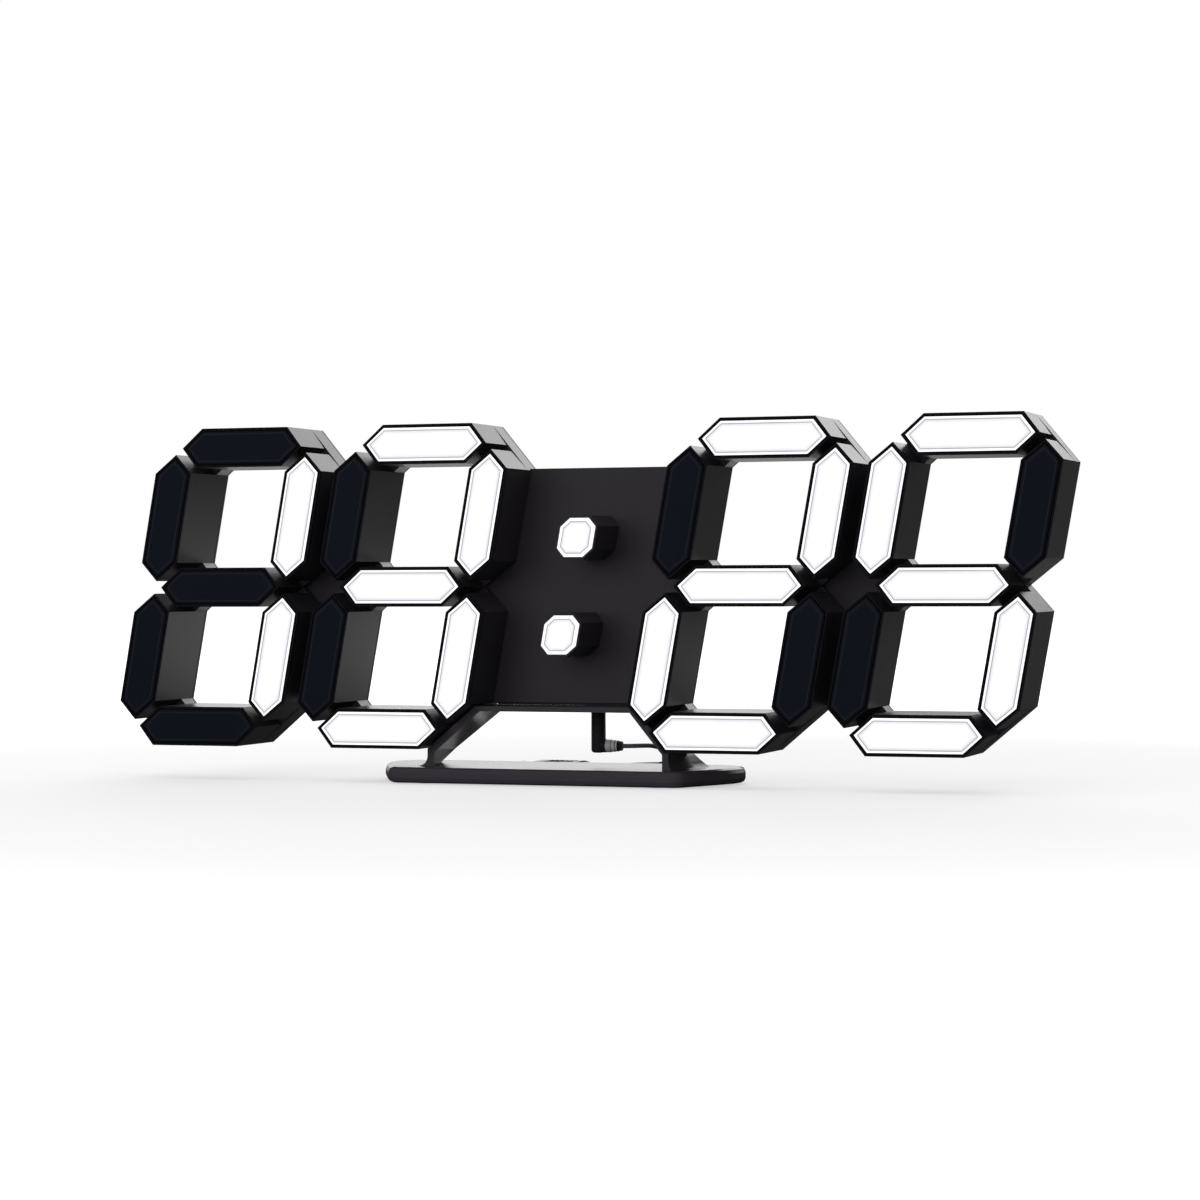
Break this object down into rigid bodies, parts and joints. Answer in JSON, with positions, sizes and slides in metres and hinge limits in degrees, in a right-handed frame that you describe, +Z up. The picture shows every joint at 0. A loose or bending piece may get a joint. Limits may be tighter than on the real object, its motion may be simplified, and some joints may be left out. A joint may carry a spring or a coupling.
{
  "type": "digital wall clock",
  "caption": "Slanted LED wall clock with raised hollow segment blocks round open digits, a colon plate, rear buttons, a lift-off bracket stand and a thin power lead.",
  "frame": {"origin": "on the table under the middle of the clock and of the stand's depth, the bottom centre of the bounding box without the lead", "axes": "+X to the viewer's right along the row of digits, +Y to the back (the wall side), +Z up"},
  "size_m": [0.381, 0.1018, 0.1395],
  "materials": {
    "black_plastic": "fine satin moulding texture",
    "rear_plastic": "satin gloss",
    "lit_lens": "frosted white, lit from behind",
    "smoked_lens": "smoked, polished",
    "circuit_board": "solder mask",
    "dark_plastic": "moulded",
    "cord_rubber": "soft satin",
    "pad_rubber": "matte",
    "steel": "plated",
    "brass": "plated"
  },
  "bodies": {
    "stand": {"stand": "black_plastic", "pad_front_left": "pad_rubber", "pad_front_right": "pad_rubber", "pad_rear_left": "pad_rubber", "pad_rear_right": "pad_rubber", "cord_coil": "cord_rubber", "cord_tail": "cord_rubber", "cord_tie": "cord_rubber", "usb_plug_body": "cord_rubber", "usb_plug_shell": "steel"},
    "clock": {"front_housing": "black_plastic", "left_back_cover": "rear_plastic", "middle_back_cover": "rear_plastic", "right_back_cover": "rear_plastic", "main_board": "circuit_board", "buzzer": "dark_plastic", "coin_cell_holder": "dark_plastic", "coin_cell": "steel", "power_socket": "dark_plastic", "digit1_lens_top": "smoked_lens", "digit1_lens_upper_left": "smoked_lens", "digit1_lens_upper_right": "lit_lens", "digit1_lens_middle": "smoked_lens", "digit1_lens_lower_left": "smoked_lens", "digit1_lens_lower_right": "lit_lens", "digit1_lens_bottom": "smoked_lens", "digit2_lens_top": "lit_lens", "digit2_lens_upper_left": "smoked_lens", "digit2_lens_upper_right": "lit_lens", "digit2_lens_middle": "lit_lens", "digit2_lens_lower_left": "smoked_lens", "digit2_lens_lower_right": "lit_lens", "digit2_lens_bottom": "lit_lens", "digit3_lens_top": "lit_lens", "digit3_lens_upper_left": "smoked_lens", "digit3_lens_upper_right": "lit_lens", "digit3_lens_middle": "lit_lens", "digit3_lens_lower_left": "lit_lens", "digit3_lens_lower_right": "smoked_lens", "digit3_lens_bottom": "lit_lens", "digit4_lens_top": "lit_lens", "digit4_lens_upper_left": "lit_lens", "digit4_lens_upper_right": "smoked_lens", "digit4_lens_middle": "lit_lens", "digit4_lens_lower_left": "smoked_lens", "digit4_lens_lower_right": "lit_lens", "digit4_lens_bottom": "lit_lens", "colon_lens_upper": "lit_lens", "colon_lens_lower": "lit_lens", "screw_upper_left": "steel", "screw_lower_left": "steel", "screw_upper_right": "steel", "screw_lower_right": "steel", "plug_barrel": "brass", "plug_body": "cord_rubber", "strain_relief": "cord_rubber", "cord": "cord_rubber"},
    "down_button": {"down_button": "dark_plastic"},
    "set_button": {"set_button": "dark_plastic"},
    "up_button": {"up_button": "dark_plastic"}
  },
  "joints": [
    {"name": "lift_off_stand", "type": "slide", "parent": "stand", "child": "clock", "axis": [0, 0, 1], "range_m": [0, 0.03]},
    {"name": "press_down", "type": "slide", "parent": "clock", "child": "down_button", "axis": [0, -1, 0], "range_m": [0, 0.0005], "stiffness_N_per_m": 300, "springref_m": -0.0005},
    {"name": "press_set", "type": "slide", "parent": "clock", "child": "set_button", "axis": [0, -1, 0], "range_m": [0, 0.0005], "stiffness_N_per_m": 300, "springref_m": -0.0005},
    {"name": "press_up", "type": "slide", "parent": "clock", "child": "up_button", "axis": [0, -1, 0], "range_m": [0, 0.0005], "stiffness_N_per_m": 300, "springref_m": -0.0005}
  ]
}
